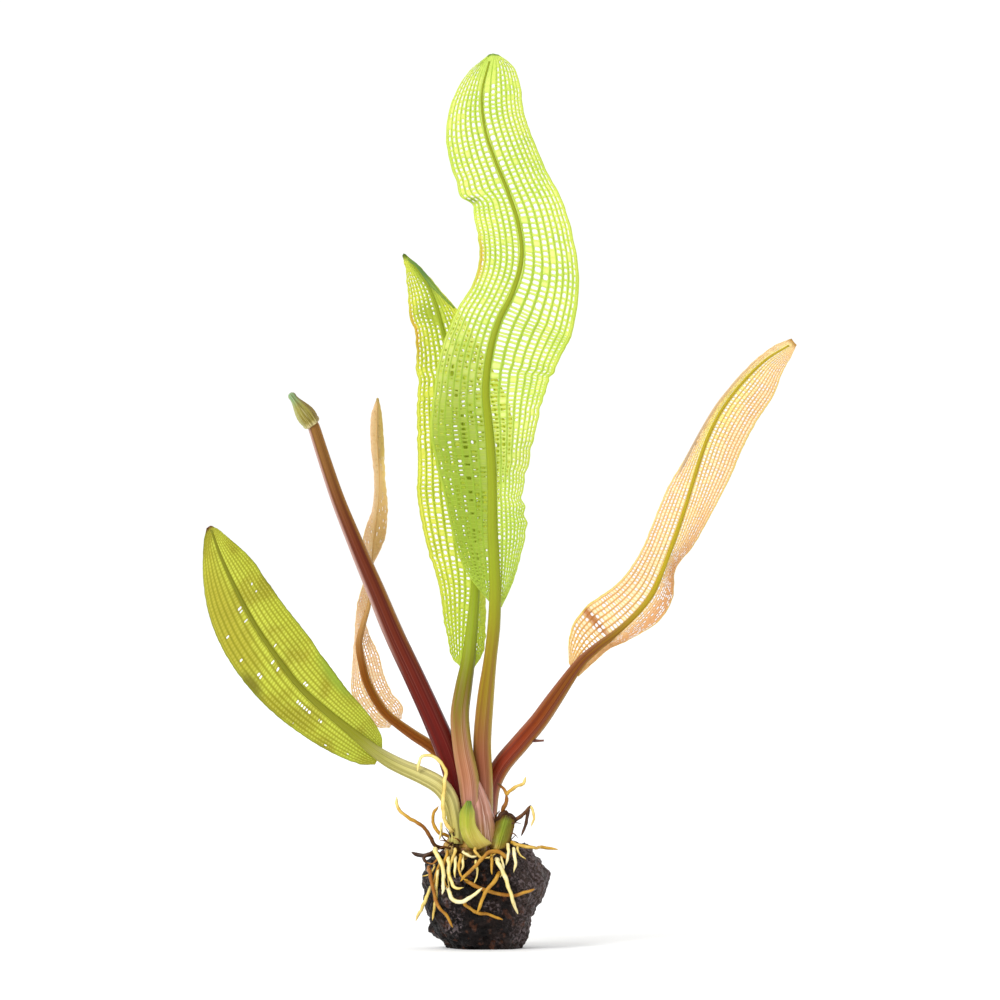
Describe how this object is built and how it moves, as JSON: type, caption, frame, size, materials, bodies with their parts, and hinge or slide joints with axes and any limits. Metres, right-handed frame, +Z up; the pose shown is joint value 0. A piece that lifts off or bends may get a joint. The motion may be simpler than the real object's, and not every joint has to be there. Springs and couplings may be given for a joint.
{
  "type": "water plant",
  "caption": "Madagascar lace plant lifted out with its roots: lattice leaves on stalks and a budding flower stalk, growing from the crown of a dark tuber with a flat underside.",
  "frame": {"origin": "middle of the flat underside of the tuber, on the surface it stands on", "axes": "+Z up along the leaves, +X to the right and +Y away from someone facing the plant as pictured"},
  "size_m": [0.1478, 0.0315, 0.2234],
  "materials": {
    "leaf_green": "thin, satin, see-through lace",
    "leaf_left": "thin, satin, mostly closed lace",
    "leaf_peach": "thin, satin, see-through lace",
    "stalk_red": "smooth, satin",
    "bract_green": "smooth, satin",
    "bud_green": "smooth, satin",
    "crown_brown": "ribbed, matt",
    "tuber_black": "pitted, wet",
    "root_cream": "smooth, satin"
  },
  "bodies": {
    "root": {"tuber": "tuber_black", "crown": "crown_brown", "front_bract": "bract_green", "right_bract": "bract_green", "tall_leaf": "leaf_green", "second_leaf": "leaf_green", "right_leaf": "leaf_peach", "left_leaf": "leaf_left", "twisted_leaf": "leaf_peach", "flower_stalk": "stalk_red", "flower_bud": "bud_green", "root_01": "root_cream", "root_02": "root_cream", "root_03": "root_cream", "root_04": "root_cream", "root_05": "root_cream", "root_06": "root_cream", "root_07": "root_cream", "root_08": "root_cream", "root_09": "root_cream", "root_10": "root_cream", "root_11": "root_cream", "root_12": "root_cream", "root_13": "root_cream", "root_14": "root_cream", "root_15": "root_cream", "root_16": "root_cream", "root_17": "root_cream", "root_18": "root_cream", "root_19": "root_cream", "root_20": "root_cream", "root_21": "root_cream", "root_22": "root_cream", "root_23": "root_cream", "root_24": "root_cream", "root_25": "root_cream", "root_26": "root_cream", "root_27": "root_cream", "root_28": "root_cream", "root_29": "root_cream", "old_root": "tuber_black"}
  },
  "joints": []
}
